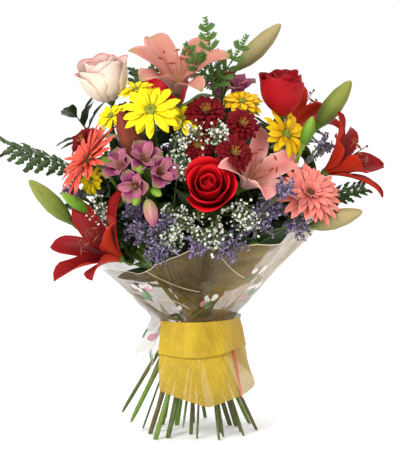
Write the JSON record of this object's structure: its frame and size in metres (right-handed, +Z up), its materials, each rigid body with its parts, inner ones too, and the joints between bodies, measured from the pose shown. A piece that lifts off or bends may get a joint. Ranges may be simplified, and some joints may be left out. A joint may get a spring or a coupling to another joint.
{
  "type": "flower bouquet",
  "caption": "Hand-tied mixed bouquet of roses, lilies, daisies, gerberas and filler flowers in a clear film sleeve and yellow mesh wrap, standing on its splayed cut stems.",
  "frame": {"origin": "centre of the bounding box at the level of the cut stem ends", "axes": "+Z up along the bundle, the front of the bouquet faces -Y, +X to the right seen from the front"},
  "size_m": [0.3922, 0.2948, 0.4471],
  "materials": {
    "rose_red": "soft matt velvety petals",
    "rose_white": "cream petals with pink edges",
    "lily_pink": "satin petals, dusty pink",
    "lily_red": "satin petals, dark red",
    "yellow_petal": "matt yellow ray petals round a green disc",
    "mum_red": "matt dark red petals",
    "gerbera_coral": "matt coral ray petals",
    "alstroemeria": "satin magenta pink petals with green",
    "stem_green": "satin green plant stem",
    "leaf_green": "matt green leaf",
    "gypsophila_white": "matt white small flowers",
    "statice_purple": "papery purple small flowers",
    "film": "clear glossy film with an amber tint",
    "mesh": "open yellow nonwoven mesh",
    "cord": "matt natural twine"
  },
  "bodies": {
    "root": {"alstroemeria_back": "alstroemeria", "alstroemeria_front": "alstroemeria", "binding_cord": "cord", "daisy_back": "yellow_petal", "daisy_five": "yellow_petal", "daisy_four": "yellow_petal", "daisy_one": "yellow_petal", "daisy_seven": "yellow_petal", "daisy_six": "yellow_petal", "daisy_three": "yellow_petal", "daisy_two": "yellow_petal", "fern_back": "leaf_green", "fern_left": "leaf_green", "fern_right": "leaf_green", "fern_top": "leaf_green", "gerbera_coral": "gerbera_coral", "gerbera_pink": "gerbera_coral", "gypsophila_left": "gypsophila_white", "gypsophila_right": "gypsophila_white", "leaves_left": "leaf_green", "leaves_right": "leaf_green", "lily_pink_right": "lily_pink", "lily_pink_top": "lily_pink", "lily_red_back": "lily_red", "lily_red_left": "lily_red", "lily_red_right": "lily_red", "mesh_wrap": "mesh", "mum_back": "mum_red", "mum_five": "mum_red", "mum_four": "mum_red", "mum_one": "mum_red", "mum_six": "mum_red", "mum_three": "mum_red", "mum_two": "mum_red", "rose_back": "rose_red", "rose_front": "rose_red", "rose_right": "rose_red", "rose_white": "rose_white", "statice_back": "statice_purple", "statice_left": "statice_purple", "statice_right": "statice_purple", "stem_daisy_left": "stem_green", "stem_daisy_low": "stem_green", "stem_daisy_right": "stem_green", "stem_gerbera_coral": "stem_green", "stem_gerbera_pink": "stem_green", "stem_lily_pink_right": "stem_green", "stem_lily_pink_top": "stem_green", "stem_lily_red_back": "stem_green", "stem_lily_red_left": "stem_green", "stem_lily_red_right": "stem_green", "stem_mum_front": "stem_green", "stem_mum_left": "stem_green", "stem_mum_top": "stem_green", "stem_rose_back": "stem_green", "stem_rose_front": "stem_green", "stem_rose_right": "stem_green", "stem_rose_white": "stem_green", "wrapper": "film"}
  },
  "joints": []
}
